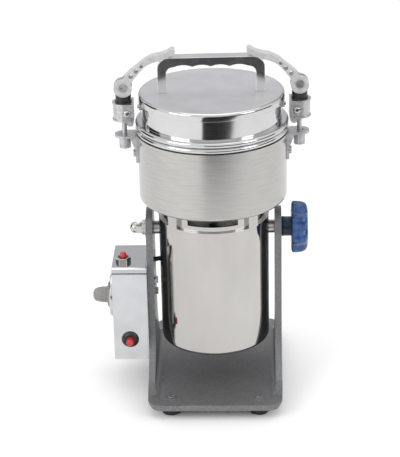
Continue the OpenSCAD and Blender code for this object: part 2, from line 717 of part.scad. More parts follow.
module brush_holders() color("#3a2a20") mill() for (s = [-1, 1]) out(s) difference() {
    union() {
        translate([commutator_radius + tube_wall, -brush_width / 2 - tube_wall, brush_level - brush_width / 2 - tube_wall])
            cube([brush_length + tube_wall, brush_width + 2 * tube_wall, brush_width + 2 * tube_wall]);
        translate([holder_foot, -brush_width / 2, bottom_seat + cover_wall])
            cube([brush_width, brush_width, brush_level - bottom_seat - cover_wall]);
    }
    translate([commutator_radius, -brush_width / 2 - run, brush_level - brush_width / 2 - run])
        cube([brush_length + tube_wall, brush_width + 2 * run, brush_width + 2 * run]);
}
module brushes() color("#2d2d2d") mill() for (s = [-1, 1]) out(s) difference() {
    translate([commutator_radius - over, -brush_width / 2, brush_level - brush_width / 2])
        cube([brush_length, brush_width, brush_width]);
    cylinder(r = commutator_radius + gap, h = pivot_height, $fn = 2 * $fn);
}
module collar() color("#d3d4d7") mill() difference() {
    union() {
        tube(collar_radius, collar_radius - collar_wall, motor_top, bowl_bottom);
        for (a = [45:90:359]) rotate([0, 0, a]) translate([collar_radius - 2 * collar_wall, -tab_width / 2, motor_top])
            cube([2 * collar_wall + tab_reach - over, tab_width, collar_height]);
    }
    for (a = [0:90:359]) rotate([0, 0, a]) intersection() {
        translate([0, 0, bowl_bottom - collar_height / 2 - vent_height / 2])
            rotate([0, 0, -vent_angle / 2]) rotate_extrude(angle = vent_angle)
                translate([collar_radius - 2 * collar_wall, 0]) square([4 * collar_wall, vent_height]);
    }
    for (a = [45:90:359]) rotate([0, 0, a]) translate([bolt_circle, 0, motor_top + collar_height / 2])
        cylinder(d = bowl_screw_d + 2 * run, h = collar_height, $fn = fine);
}
module bowl_screws() color("#c9cacd") mill() for (a = [45:90:359]) rotate([0, 0, a])
    translate([bolt_circle, 0, floor_top]) rotate([180, 0, 0]) screw(bowl_screw_d, collar_height / 2 + bowl_wall - over, 2 * bowl_screw_d);
module shaft_seal() color("#1e1e20") mill() difference() {
    union() {
        translate([0, 0, bowl_bottom - boss_wall]) cylinder(r = seal_radius - run, h = bowl_wall + boss_wall + over);
        translate([0, 0, floor_top]) cylinder(r = seal_radius + tube_wall, h = tube_wall);
    }
    translate([0, 0, bowl_bottom - boss_wall - over]) cylinder(r = shaft_d / 2 + gap, h = bowl_wall + 3 * boss_wall);
}

// Bowl and its brackets
module bowl() color("#c9c8c5") mill() {
    difference() {
        translate([0, 0, bowl_bottom]) cup(bowl_radius, bowl_depth, bowl_round, bowl_wall, seal_radius);
        for (a = [45:90:359]) rotate([0, 0, a]) translate([bolt_circle, 0, bowl_bottom - over])
            cylinder(d = bowl_screw_d + 2 * run, h = bowl_wall + 2 * over, $fn = fine);
        for (s = [-1, 1]) at_clamp(s) translate([0, 0, rivet_level])
            bar_x(box_screw_d + 2 * run, bowl_inner - 2 * over, bowl_radius + over, $fn = fine);
    }
    tube(bowl_radius + rim_reach, bowl_inner + bowl_wall / 2, rim_level - rim_height, rim_level);
}
module bracket(side) at_clamp(side) difference() {
    union() {
        intersection() {
            tube(bowl_radius + run + bracket_wall, bowl_radius + run, tongue_top - bracket_leg, tongue_top);
            translate([0, -tongue_d / 2, 0]) cube([2 * bowl_radius, tongue_d, rim_level]);
        }
        translate([0, 0, tongue_bottom]) linear_extrude(bracket_wall) {
            translate([bowl_radius + bracket_wall / 2, -tongue_d / 2])
                square([clamp_reach - bowl_radius - bracket_wall / 2, tongue_d]);
            translate([clamp_reach, 0]) circle(d = tongue_d);
        }
        for (s = [-1, 1]) translate([0, s * (tongue_d / 2 - bracket_wall / 2), 0]) rotate([90, 0, 0])
            linear_extrude(bracket_wall, center = true) polygon([
                [bowl_radius + bracket_wall / 2, tongue_bottom + run],
                [clamp_reach - nut_d / 2, tongue_bottom + run],
                [bowl_radius + bracket_wall / 2, tongue_top - bracket_leg + tongue_d / 2]]);
    }
    translate([clamp_reach, 0, tongue_bottom - over]) cylinder(d = rod_d + 2 * gap, h = bracket_wall + 2 * over, $fn = fine);
    translate([clamp_reach, -rod_d / 2 - gap, tongue_bottom - over])
        cube([tongue_d, rod_d + 2 * gap, bracket_wall + 2 * over]);
    translate([0, 0, rivet_level]) bar_x(box_screw_d + 2 * run, bowl_inner, 2 * bowl_radius, $fn = fine);
}
module brackets() color("#b4b5b8") mill() for (s = [-1, 1]) bracket(s);
module bracket_screws() color("#8d8e90") mill() for (s = [-1, 1]) at_clamp(s) {
    translate([bowl_radius + run + bracket_wall, 0, rivet_level]) rotate([0, -90, 0])
        screw(box_screw_d, bowl_wall + bracket_wall + over, 2 * box_screw_d);
    translate([0, 0, rivet_level]) bar_x(2 * box_screw_d - over, bowl_inner - 2 * over, bowl_inner - 2 * run, $fn = fine);
}

// Clamps, drawn with local X outward
module nut(side) color("#b9babc") mill() at_clamp(side) translate([clamp_reach, 0, swing_level]) difference() {
    intersection() {
        translate([0, 0, nut_dome - nut_height]) cylinder(d = nut_d, h = nut_height);
        union() {
            bar_y(2 * nut_dome, 2 * nut_d);
            translate([0, 0, -nut_height]) cylinder(d = nut_d, h = nut_height);
        }
    }
    translate([0, 0, nut_dome - nut_height + over]) cylinder(d = rod_d + 2 * run, h = nut_height, $fn = fine);
}
module rod(side) color("#a9aaad") mill() at_clamp(side) translate([clamp_reach, 0, 0]) difference() {
    union() {
        translate([0, 0, swing_level + nut_dome - nut_height + over + run])
            cylinder(d = rod_d, h = pin_level - swing_level - nut_dome + nut_height - over - run, $fn = fine);
        translate([0, 0, pin_level]) bar_y(eye_d, eye_width);
    }
    translate([0, 0, pin_level]) bar_y(pin_d + 2 * run, 2 * eye_width);
}
module block_plan(extra) intersection() {
    union() {
        translate([block_inner, -block_depth / 2 - extra])
            square([clamp_reach - block_inner, block_depth + 2 * extra]);
        translate([clamp_reach, 0]) circle(r = block_depth / 2 + extra);
    }
    translate([block_inner, -block_depth]) square([clamp_reach, 2 * block_depth]);
}
module block(side) color("#b4b5b8") mill() at_clamp(side) difference() {
    union() {
        translate([0, 0, block_bottom]) linear_extrude(block_height) block_plan(0);
        for (z = [block_bottom, block_top - 2 * block_lip]) translate([0, 0, z])
            linear_extrude(2 * block_lip) block_plan(block_lip);
        translate([block_inner + lug_d / 2, 0, block_bottom]) {
            bar_y(lug_d, block_depth + 2 * tube_wall);
            bar_y(lug_d / 2, block_depth + 4 * tube_wall);
        }
    }
    translate([clamp_reach, 0, block_bottom - lug_d]) cylinder(d = rod_d + 2 * run, h = block_height + 2 * lug_d, $fn = fine);
}
module washers(side) color("#2b2b2d") mill() at_clamp(side) translate([clamp_reach, 0, 0]) difference() {
    union() {
        translate([0, 0, block_top]) cylinder(d = dish_d + over, h = washer_height);
        translate([0, 0, block_top + washer_height])
            cylinder(d = dish_d, h = cam_level - block_top - washer_height - (cam_radius + gap) * cos(dish_angle));
    }
    translate([0, 0, cam_level]) bar_y(2 * (cam_radius + gap), 2 * dish_d);
    translate([0, 0, block_top - over]) cylinder(d = rod_d + 2 * run, h = cam_radius, $fn = fine);
}
module pin(side) color("#c9cacd") mill() at_clamp(side) translate([clamp_reach, 0, pin_level]) {
    bar_y(pin_d, lever_width + 2 * gap);
    out(side) translate([0, -lever_width / 2 - gap, 0]) rotate([-90, 0, 0]) screw(pin_d, tube_wall, pin_head_d);
    out(side) translate([0, lever_width / 2 + gap + tube_wall / 2, 0]) bar_y(pin_head_d - over, tube_wall);
}
// The lever's middle line from its pin to its tip, in shares of its reach and rise, as a smooth S
function bend(t, a, b) = 3 * t * (1 - t) * (1 - t) * a + 3 * t * t * (1 - t) * b + t * t * t;
function lever_at(t) = [-lever_reach * bend(t, lever_shares[0], lever_shares[2]),
    lever_rise * bend(t, lever_shares[1], lever_shares[3])];
function lever_side(t, side) = let(d = lever_at(t + slope_share) - lever_at(t - slope_share), h = side * lever_half(t))
    lever_at(t) + h * [-d[1], d[0]] / norm(d);
function lever_half(t) = lever_thick / 2 * (1 + (1 - t) * (1 - t) * 0.5 - 0.25 * t);
module lever(side) color("#c6c7ca") mill() at_clamp(side) translate([clamp_reach, 0, pin_level]) difference() {
    rotate([90, 0, 0]) linear_extrude(lever_width, center = true) {
        translate([0, -cam_offset]) circle(r = cam_radius);
        polygon(concat([for (i = [0:lever_steps]) lever_side(i / lever_steps, -1)],
            [for (i = [lever_steps:-1:0]) lever_side(i / lever_steps, 1)]));
        translate(lever_at(1)) circle(r = lever_half(1), $fn = fine);
    }
    bar_y(2 * (cam_radius + cam_offset + gap), eye_width + 2 * gap);
    bar_y(pin_d + 2 * run, 2 * lever_width);
    for (i = [0:len(lever_hole_d) - 1]) let(at = lever_at(lever_hole_shares[i])) translate([at[0], 0, at[1]])
        bar_y(lever_hole_d[i], 2 * lever_width, $fn = fine);
}
module block_left() block(-1);
module block_right() block(1);
module rod_left() rod(-1);
module rod_right() rod(1);
module nut_left() nut(-1);
module nut_right() nut(1);
module washers_left() washers(-1);
module washers_right() washers(1);
module pin_left() pin(-1);
module pin_right() pin(1);
module lever_left() lever(-1);
module lever_right() lever(1);

// Lid
module lid() color("#cfd0d3") mill() translate([0, 0, rim_level]) rotate_extrude() difference() {
    union() {
        square([flange_radius - bead_height / 2, 2 * bead_height]);
        for (i = [1, 3]) translate([flange_radius - bead_height / 2, i * bead_height / 2]) circle(d = bead_height, $fn = fine);
        square([band_radius, disc_bottom - rim_level + over]);
        translate([0, disc_bottom - rim_level + disc_height]) mirror([0, 1]) cup_section(disc_radius, disc_height, disc_round);
    }
    translate([-over, -over]) square([band_radius - lid_wall + over, lid_top - rim_level - lid_wall + over]);
    translate([gasket_inner - run, -over]) square([gasket_outer - gasket_inner + 2 * run, gasket_height + over]);
    translate([-2 * disc_radius, -over]) square([2 * disc_radius, 2 * disc_radius]);
}
module lid_gasket() color("#e4e1da") mill() tube(gasket_outer, gasket_inner, rim_level, rim_level + gasket_height);
module lid_ears() color("#b4b5b8") mill() for (s = [-1, 1]) at_clamp(s) difference() {
    translate([0, 0, disc_bottom - lug_d]) {
        bar_x(lug_d, band_radius - over, disc_radius - over / 2);
        bar_x(lug_d / 2, band_radius - over, disc_radius + over);
    }
    cylinder(r = band_radius + run, h = lid_top, $fn = 2 * $fn);
}
module handle_side() difference() {
    translate([0, 0]) round_top(handle_length, handle_height, handle_round);
    difference() {
        translate([-gap_width / 2, -over]) square([gap_width, gap_height + over]);
        for (s = [-1, 1]) translate([s * gap_width / 2, gap_height]) difference() {
            square(2 * inner_round, center = true);
            translate([-s * inner_round, -inner_round]) circle(r = inner_round);
        }
    }
    for (i = [-1.5:1:1.5]) translate([i * scallop_pitch, gap_height + scallop_rise - scallop_radius]) intersection() {
        circle(r = scallop_radius);
        translate([-scallop_pitch / 2, 0]) square([scallop_pitch, 2 * scallop_radius]);
    }
}
module lid_handle() color("#d8d9dc") mill() rotate([0, 0, head_turn]) translate([0, 0, lid_top]) rotate([90, 0, 0]) {
    difference() {
        linear_extrude(handle_depth, center = true) handle_side();
        linear_extrude(handle_depth - 2 * handle_wall, center = true) translate([0, -over])
            round_top(handle_length - 2 * handle_wall, handle_height - handle_wall + over, handle_round - handle_wall);
    }
    for (s = [-1, 1]) translate([s * (handle_length - leg_width) / 2, boss_wall / 2, 0])
        cube([leg_width - handle_wall, boss_wall, handle_depth - 2 * handle_wall + 2 * run], center = true);
}

// Drive
module on_shaft(z) translate([0, 0, z]) difference() {
    children();
    translate([0, 0, -over]) cylinder(r = shaft_d / 2 + run, h = pivot_height, $fn = fine);
}
module shaft() color("#a9aaad") mill() translate([0, 0, lower_bearing + run])
    cylinder(d = shaft_d, h = upper_blade_level + blade_wall + blade_nut_height / 2 - lower_bearing - run, $fn = fine);
module rotor_core() color("#8b8782") mill() on_shaft(iron_bottom) difference() {
    cylinder(r = rotor_radius, h = iron_length);
    for (a = [0:30:359]) rotate([0, 0, a]) translate([rotor_radius - boss_wall, -over, -over])
        cube([2 * boss_wall, 2 * over, iron_length + 2 * over]);
}
module commutator() color("#b8703a") mill() on_shaft(commutator_bottom)
    cylinder(r = commutator_radius, h = commutator_length);
module fan() color("#1e1e20") mill() on_shaft(fan_bottom) {
    cylinder(r = fan_radius, h = tube_wall);
    cylinder(r = hub_radius, h = fan_height);
    for (i = [0:fan_vanes - 1]) rotate([0, 0, i * 360 / fan_vanes])
        translate([hub_radius + boss_wall, -over / 2, over]) cube([fan_radius - hub_radius - 2 * boss_wall, over, fan_height - over]);
}
module blade_plan(reach) difference() {
    intersection() {
        union() {
            square([2 * reach, blade_width], center = true);
            circle(r = hub_radius + boss_wall);
        }
        circle(r = reach);
    }
    for (a = [0, 180]) rotate(a) translate([reach * 0.6, blade_width]) circle(r = blade_width * 0.9);
}
module blade_lower() color("#c9cacd") mill() on_shaft(blade_level) linear_extrude(blade_wall) blade_plan(blade_reach);
module blade_upper() color("#c9cacd") mill() rotate([0, 0, 90]) on_shaft(upper_blade_level) difference() {
    linear_extrude(blade_gap / 2) blade_plan(blade_reach - 2 * boss_wall);
    translate([0, 0, blade_wall]) cylinder(r = blade_reach - 2 * boss_wall - blade_wall, h = blade_gap);
}
module blade_spacers() color("#b9babc") mill() {
    on_shaft(floor_top + tube_wall + gap) cylinder(r = hub_radius, h = blade_height - tube_wall - gap);
    on_shaft(blade_level + blade_wall) cylinder(r = hub_radius, h = blade_gap);
}
module blade_nut() color("#c9cacd") mill() translate([0, 0, upper_blade_level + blade_wall]) difference() {
    union() {
        cylinder(r = hub_radius, h = over);
        hex(1.6 * shaft_d, blade_nut_height);
    }
    translate([0, 0, -over]) cylinder(r = shaft_d / 2 + run, h = blade_nut_height / 2 + over + run, $fn = fine);
}
// The lead from the motor droops through the stand's slot into the control box
module motor_lead() color("#141415") mill() translate([-motor_radius + boss_wall + over, 0, lead_level - lead_radius])
    rotate([90, -90, 0]) rotate_extrude(angle = lead_angle) translate([lead_radius, 0]) circle(d = lead_d, $fn = fine);

stand();
feet();
foot_screws();
box_screws();
pivot_bushes();
control_box();
box_plate();
cord_bush();
reset_nut();
breakers();
bezel();
timer_plate();
timer_body();
reset_button();
front_button();
timer_knob();
lock_knob();
motor_housing();
bottom_cover();
end_plate();
collar();
bowl_screws();
stator();
windings();
bearings();
brush_holders();
brushes();
spacers();
studs();
acorn_nut();
pivot_washers();
bowl();
shaft_seal();
brackets();
bracket_screws();
shaft();
rotor_core();
commutator();
fan();
blade_spacers();
blade_lower();
blade_upper();
blade_nut();
lid();
lid_ears();
lid_gasket();
lid_handle();
block_left();
block_right();
rod_left();
rod_right();
nut_left();
nut_right();
washers_left();
washers_right();
pin_left();
pin_right();
lever_left();
lever_right();
motor_lead();
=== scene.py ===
# %% [markdown]
# # Electric grain mill
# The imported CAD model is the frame: every length here is in metres and in its coordinates. This lesson
# dresses it. Most parts of a mill are turned, pressed or cast metal, so their CAD solids already have the right
# form, and what they lack is the soft edge that catches light, and a finish. Moulded parts are built anew.

# %% Load the frame
import json
import math
import bmesh
import bpy
from mathutils import Matrix, Vector


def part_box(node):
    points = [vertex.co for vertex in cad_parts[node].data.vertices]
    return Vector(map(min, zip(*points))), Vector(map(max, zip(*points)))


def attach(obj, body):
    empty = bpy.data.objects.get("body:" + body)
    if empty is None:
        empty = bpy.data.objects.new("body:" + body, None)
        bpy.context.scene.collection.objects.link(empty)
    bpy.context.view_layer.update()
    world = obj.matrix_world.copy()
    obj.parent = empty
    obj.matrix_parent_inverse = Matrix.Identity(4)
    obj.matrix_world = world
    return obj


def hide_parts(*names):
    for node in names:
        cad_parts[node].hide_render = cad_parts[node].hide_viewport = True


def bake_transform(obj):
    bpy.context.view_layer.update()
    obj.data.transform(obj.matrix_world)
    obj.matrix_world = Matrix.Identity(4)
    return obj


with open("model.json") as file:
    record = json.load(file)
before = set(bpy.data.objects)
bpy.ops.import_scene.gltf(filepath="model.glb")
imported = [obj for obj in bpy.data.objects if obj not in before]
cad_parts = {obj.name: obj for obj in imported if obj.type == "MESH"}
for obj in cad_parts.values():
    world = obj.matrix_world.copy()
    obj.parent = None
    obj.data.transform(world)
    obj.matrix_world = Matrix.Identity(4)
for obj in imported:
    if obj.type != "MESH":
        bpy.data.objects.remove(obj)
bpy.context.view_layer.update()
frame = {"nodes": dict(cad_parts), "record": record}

MM = 0.001


def middle(node):
    """The centre of a CAD node's box."""
    low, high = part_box(node)
    return (Vector(low) + Vector(high)) / 2


head_axis_x = middle("bowl").x
pivot = Vector((head_axis_x, 0, middle("studs").z))
print("head axis x", round(head_axis_x, 4), "pivot height", round(pivot.z, 4))

# %% [markdown]
# The photograph was taken from a little above, with a long lens. A camera's pose could be set by eye, but
# edges of the disc, the bowl and the base measured in the picture fix it better. Its axes are built from the
# direction it looks in, then turned by a small roll. The angles are in radians.

# %% Camera
look_yaw, look_pitch, look_roll = -0.035, 0.414, -0.023
camera_place = (head_axis_x + 0.040, -1.565, 0.862)
sensor_height, lens_length = 36, 127.4

forward = Vector((math.sin(look_yaw) * math.cos(look_pitch), math.cos(look_yaw) * math.cos(look_pitch),
                  -math.sin(look_pitch)))
level = Vector((math.cos(look_yaw), -math.sin(look_yaw), 0))
upward = level.cross(forward)
right = math.cos(look_roll) * level + math.sin(look_roll) * upward
upward = right.cross(forward)
camera_data = bpy.data.cameras.new("studio_camera")
camera_data.sensor_fit = "VERTICAL"
camera_data.sensor_height = sensor_height
camera_data.lens = lens_length
camera = bpy.data.objects.new("studio_camera", camera_data)
bpy.context.collection.objects.link(camera)
camera.matrix_world = Matrix.Translation(camera_place) @ Matrix((right, upward, -forward)).transposed().to_4x4()
bpy.context.scene.camera = camera
print("camera looks down by", round(math.degrees(look_pitch), 1), "degrees")

# %% [markdown]
# Polished steel shows the studio, not itself. In a white room it would look like plaster. In the photograph
# the low parts mirror a white table, and the higher ones the dark room beyond its edge. Flat cards that only
# reflections see stand for the dark room and for a grey wall behind. They could be painted sheets, but an
# emission material keeps one grey whatever light falls on it, so what the steel mirrors is known.


# %% Helpers for the studio
def object_of(name, bm):
    """Writes a bmesh to a new object of the scene, and frees the bmesh."""
    mesh = bpy.data.meshes.new(name)
    bm.to_mesh(mesh)
    bm.free()
    made = bpy.data.objects.new(name, mesh)
    bpy.context.collection.objects.link(made)
    return made


def square_sheet(half):
    """A flat square on the XY plane, as a bmesh; half is half of its side."""
    bm = bmesh.new()
    bmesh.ops.create_grid(bm, x_segments=1, y_segments=1, size=half)
    return bm


def emission(name, colour):
    """A material that shines with one colour, whatever light falls on it."""
    made = bpy.data.materials.new(name)
    made.use_nodes = True
    nodes = made.node_tree.nodes
    nodes.remove(nodes["Principled BSDF"])
    light = nodes.new("ShaderNodeEmission")
    light.inputs["Color"].default_value = (*colour, 1)
    light.inputs["Strength"].default_value = 1
    made.node_tree.links.new(light.outputs[0], nodes["Material Output"].inputs["Surface"])
    return made


def card(name, place, aim, width, height, material):
    """A flat reflector that only reflections see."""
    bm = square_sheet(0.5)
    turn = (Vector(aim) - Vector(place)).to_track_quat("Z", "Y").to_matrix().to_4x4()
    bmesh.ops.transform(bm, verts=bm.verts,
                        matrix=Matrix.Translation(place) @ turn @ Matrix.Diagonal((width, height, 1, 1)))
    made = object_of(name, bm)
    made.data.materials.append(material)
    made.visible_camera = made.visible_diffuse = made.visible_shadow = False
    return made


# %% The cards
black_card = emission("black_card", (0.022, 0.022, 0.023))
grey_card = emission("grey_card", (0.66, 0.66, 0.68))
card("dark_floor", place=(1.10, -1.95, 0.004), aim=(1.10, -1.95, 1), width=2.6, height=2.4, material=black_card)
card("dark_front", place=(0.95, -3.1, 0.62), aim=(0.95, 0, 0.62), width=2.9, height=0.8, material=black_card)
card("dark_right", place=(2.4, -1.2, 0.5), aim=(0, -1.2, 0.5), width=3.6, height=1.0, material=black_card)
card("dark_left", place=(-2.4, 0.9, 0.8), aim=(0, 0.9, 0.8), width=1.6, height=1.6, material=black_card)
wall = card("grey_back", place=(0, 2.6, 1.5), aim=(0, 0, 1.5), width=6.0, height=3.0, material=grey_card)
print("the wall of cards is", [round(v, 2) for v in wall.dimensions], "m")

# %% [markdown]
# A product photograph on white has light from everywhere and a soft key from one side. A white world gives the
# first. Three area lights, all turned to the mill's middle, give the rest: a large key on the left, a weaker
# fill on the right, and one overhead for the lid.

# %% World and lights
world = bpy.data.worlds.new("white_room")
world.use_nodes = True
world.node_tree.nodes["Background"].inputs["Color"].default_value = (1, 1, 1, 1)
world.node_tree.nodes["Background"].inputs["Strength"].default_value = 1.0
bpy.context.scene.world = world
mill_middle = Vector((head_axis_x, 0, 0.18))


def area_light(name, place, size, power):
    """A rectangular light, aimed at the mill, that the camera doesn't see; power is in watts."""
    data = bpy.data.lights.new(name, "AREA")
    data.shape, data.size, data.size_y, data.energy = "RECTANGLE", size[0], size[1], power
    made = bpy.data.objects.new(name, data)
    bpy.context.collection.objects.link(made)
    made.matrix_world = Matrix.Translation(place) @ (
        Vector(place) - mill_middle).to_track_quat("Z", "Y").to_matrix().to_4x4()
    made.visible_camera = False


area_light("key", place=(-1.5, -1.2, 1.3), size=(1.2, 1.0), power=11)
area_light("fill", place=(1.4, -0.8, 1.0), size=(0.6, 0.8), power=4)
area_light("top", place=(0.1, 0.3, 1.7), size=(1.2, 1.2), power=5)
bpy.context.scene.view_settings.view_transform = "Standard"
print(len(bpy.data.lights), "lights set")

# %% [markdown]
# A finish is made of a colour, a roughness and a small bump. Each can follow a noise, so that no surface is
# one flat value. The helper below joins the few nodes that all the finishes share: a noise, stretched by a
# Mapping node on the object's own coordinates, a colour ramp, a roughness range and a bump.


# %% A helper for finishes
def finish_of(name, colours, roughness, scale, stretch=(1, 1, 1), bump=0.0, bump_distance=0.0002, metallic=0.0,
              detail=6, texture="ShaderNodeTexNoise", coat=0.0, stops=(0.35, 0.65), coat_roughness=0.08):
    """A procedural finish: colours are the two ends of its ramp, and roughness its two ends."""
    made = bpy.data.materials.new(name)
    made.use_nodes = True
    nodes, links = made.node_tree.nodes, made.node_tree.links
    shader = nodes["Principled BSDF"]
    shader.inputs["Metallic"].default_value = metallic
    shader.inputs["Coat Weight"].default_value = coat
    shader.inputs["Coat Roughness"].default_value = coat_roughness
    place = nodes.new("ShaderNodeTexCoord")
    mapping = nodes.new("ShaderNodeMapping")
    mapping.inputs["Scale"].default_value = stretch
    links.new(place.outputs["Object"], mapping.inputs["Vector"])
    pattern = nodes.new(texture)
    pattern.inputs["Scale"].default_value = scale
    if texture == "ShaderNodeTexNoise":
        pattern.inputs["Detail"].default_value = detail
        out = pattern.outputs["Fac"]
    else:
        out = pattern.outputs["Distance"]
    links.new(mapping.outputs[0], pattern.inputs["Vector"])
    ramp = nodes.new("ShaderNodeValToRGB")
    for stop, position, colour in zip(ramp.color_ramp.elements, stops, colours):
        stop.position = position
        stop.color = (*colour, 1)
    links.new(out, ramp.inputs["Fac"])
    links.new(ramp.outputs["Color"], shader.inputs["Base Color"])
    spread = nodes.new("ShaderNodeMapRange")
    spread.inputs["To Min"].default_value, spread.inputs["To Max"].default_value = roughness
    links.new(out, spread.inputs["Value"])
    links.new(spread.outputs["Result"], shader.inputs["Roughness"])
    if bump:
        relief = nodes.new("ShaderNodeBump")
        relief.inputs["Strength"].default_value = bump
        relief.inputs["Distance"].default_value = bump_distance
        links.new(out, relief.inputs["Height"])
        links.new(relief.outputs["Normal"], shader.inputs["Normal"])
    return made


# %% [markdown]
# The stand is cast and sprayed with hammertone paint, whose skin draws up into small cells. Voronoi distance
# gives cells of even size. The paint holds metal flakes, so it is half metallic, and a thin clear coat gives
# the gloss on the tops of the cells. The levers are cast too, and sprayed silver.

# %% Paints
hammertone = finish_of("hammertone_paint", colours=((0.145, 0.147, 0.151), (0.20, 0.202, 0.206)),
                       roughness=(0.38, 0.50), scale=420, bump=0.12, bump_distance=0.0003, metallic=0.5,
                       texture="ShaderNodeTexVoronoi", coat=0.15, stops=(0.1, 0.75))
silver_paint = finish_of("silver_paint", colours=((0.50, 0.50, 0.495), (0.60, 0.60, 0.595)),
                         roughness=(0.3, 0.42), scale=220, bump=0.05, metallic=0.25, coat=0.25)
print("paints:", hammertone.name, silver_paint.name)

# %% [markdown]
# One metal, steel, shows in many finishes. The motor's shell and the lid are polished, so they are almost
# mirrors. The bowl and the box are brushed: a noise squeezed along one axis gives fine streaks across that
# axis, which run round the bowl and up the box's side. Cast and turned pieces are rougher, with a finer grain.

# %% Steels
mirror_steel = finish_of("mirror_steel", colours=((0.46, 0.447, 0.43), (0.53, 0.517, 0.50)),
                         roughness=(0.05, 0.10), scale=14, stretch=(1, 1, 0.4), bump=0.02, metallic=1.0)
lid_steel = finish_of("lid_steel", colours=((0.54, 0.54, 0.545), (0.61, 0.61, 0.615)),
                      roughness=(0.07, 0.13), scale=30, bump=0.02, metallic=1.0)
satin_steel = finish_of("satin_steel", colours=((0.43, 0.42, 0.405), (0.50, 0.49, 0.475)),
                        roughness=(0.20, 0.30), scale=60, stretch=(1, 1, 18), bump=0.03, bump_distance=0.0001,
                        metallic=1.0)
box_steel = finish_of("box_steel", colours=((0.54, 0.545, 0.56), (0.60, 0.605, 0.62)),
                      roughness=(0.12, 0.18), scale=50, stretch=(1, 20, 1), bump=0.03, bump_distance=0.0001,
                      metallic=1.0)
plain_steel = finish_of("plain_steel", colours=((0.42, 0.42, 0.43), (0.58, 0.58, 0.59)),
                        roughness=(0.22, 0.38), scale=220, bump=0.08, metallic=1.0)
cast_metal = finish_of("cast_metal", colours=((0.44, 0.44, 0.45), (0.60, 0.60, 0.61)),
                       roughness=(0.25, 0.42), scale=320, bump=0.18, bump_distance=0.0003, metallic=1.0)
disc_steel = finish_of("disc_steel", colours=((0.70, 0.70, 0.71), (0.76, 0.76, 0.77)),
                       roughness=(0.30, 0.38), scale=40, bump=0.02, metallic=1.0)
chrome = finish_of("chrome", colours=((0.70, 0.70, 0.705), (0.78, 0.78, 0.785)),
                   roughness=(0.14, 0.22), scale=60, bump=0.02, metallic=1.0)
print("steels, and", len(bpy.data.materials), "materials so far")

# %% [markdown]
# Inside the motor are three more metals: bronze bushes, copper wire and a core of stacked iron sheets. Both
# the wire and the stack show fine lines, which again come from a noise squeezed along one axis.

# %% The motor's metals
bronze = finish_of("bronze", colours=((0.45, 0.30, 0.12), (0.60, 0.42, 0.18)),
                   roughness=(0.35, 0.5), scale=300, bump=0.1, metallic=1.0)
copper = finish_of("copper_wire", colours=((0.30, 0.09, 0.03), (0.55, 0.20, 0.08)),
                   roughness=(0.3, 0.45), scale=40, stretch=(1, 1, 30), bump=0.4, metallic=0.8)
core_iron = finish_of("core_iron", colours=((0.10, 0.10, 0.10), (0.20, 0.195, 0.19)),
                      roughness=(0.45, 0.6), scale=40, stretch=(1, 1, 40), bump=0.3, metallic=0.7)
print("motor metals:", bronze.name, copper.name, core_iron.name)

# %% [markdown]
# The small mouldings are plain plastics and rubbers, which differ in colour, gloss and grain. The lock knob is
# the one with a pattern: its blue is marbled in the head and speckled in the neck, from the same noise with
# its ramp's stops close together, so that the two blues meet in sharp veins.

# %% Plastics and rubbers
black_plastic = finish_of("black_plastic", colours=((0.010, 0.010, 0.011), (0.022, 0.022, 0.024)),
                          roughness=(0.34, 0.46), scale=500, bump=0.1)
black_rubber = finish_of("black_rubber", colours=((0.008, 0.008, 0.008), (0.02, 0.02, 0.02)),
                         roughness=(0.55, 0.7), scale=350, bump=0.2)
pale_rubber = finish_of("pale_rubber", colours=((0.62, 0.60, 0.55), (0.72, 0.70, 0.66)),
                        roughness=(0.5, 0.6), scale=200, bump=0.1)
grey_plastic = finish_of("grey_plastic", colours=((0.22, 0.21, 0.195), (0.29, 0.28, 0.265)),
                         roughness=(0.38, 0.5), scale=420, bump=0.1)
red_plastic = finish_of("red_plastic", colours=((0.50, 0.018, 0.014), (0.62, 0.035, 0.028)),
                        roughness=(0.22, 0.32), scale=260, bump=0.04, coat=0.3)
blue_marble = finish_of("blue_marble", colours=((0.004, 0.035, 0.14), (0.018, 0.085, 0.26)),
                        roughness=(0.20, 0.34), scale=75, stretch=(2.2, 1, 1), bump=0.05, coat=0.2, detail=9,
                        stops=(0.42, 0.60))
blue_speckle = finish_of("blue_speckle", colours=((0.004, 0.006, 0.014), (0.012, 0.05, 0.19)),
                         roughness=(0.3, 0.42), scale=380, bump=0.06, detail=3, stops=(0.48, 0.62))
print(len(bpy.data.materials), "materials in all")

# %% [markdown]
# Every CAD node gets the finish of its record's slot, but for a few whose finish is their own. A node that no
# later step replaces stays in the scene as it is, so it is shaded smooth up to its sharp edges here.

# %% Finishes on the CAD nodes
slot_of = {part["node"]: part["material_slot"] for part in frame["record"]["subparts"]}
body_of_node = {node: body for body, nodes in frame["record"]["behaviour"]["bodies"].items() for node in nodes}
finish_for = {"hammertone": hammertone, "polished_steel": mirror_steel, "satin_steel": satin_steel,
              "cast_metal": cast_metal, "fastener_steel": plain_steel, "blue_plastic": blue_marble,
              "grey_plastic": grey_plastic, "black_plastic": black_plastic, "red_plastic": red_plastic,
              "black_rubber": black_rubber, "pale_rubber": pale_rubber, "bronze": bronze, "copper": copper,
              "core_iron": core_iron}
special = {"lid": lid_steel, "control_box": box_steel, "box_plate": box_steel, "timer_plate": box_steel,
           "brackets": cast_metal, "lever_left": silver_paint, "lever_right": silver_paint,
           "lid_handle": chrome}
sharp_degrees = 34


def finish_on(node):
    """The finish of a CAD node."""
    return special.get(node) or finish_for[slot_of[node]]


for node, piece in frame["nodes"].items():
    piece.data.materials.clear()
    piece.data.materials.append(finish_on(node))
    piece.data.shade_smooth()
    piece.data.set_sharp_from_angle(angle=math.radians(sharp_degrees))

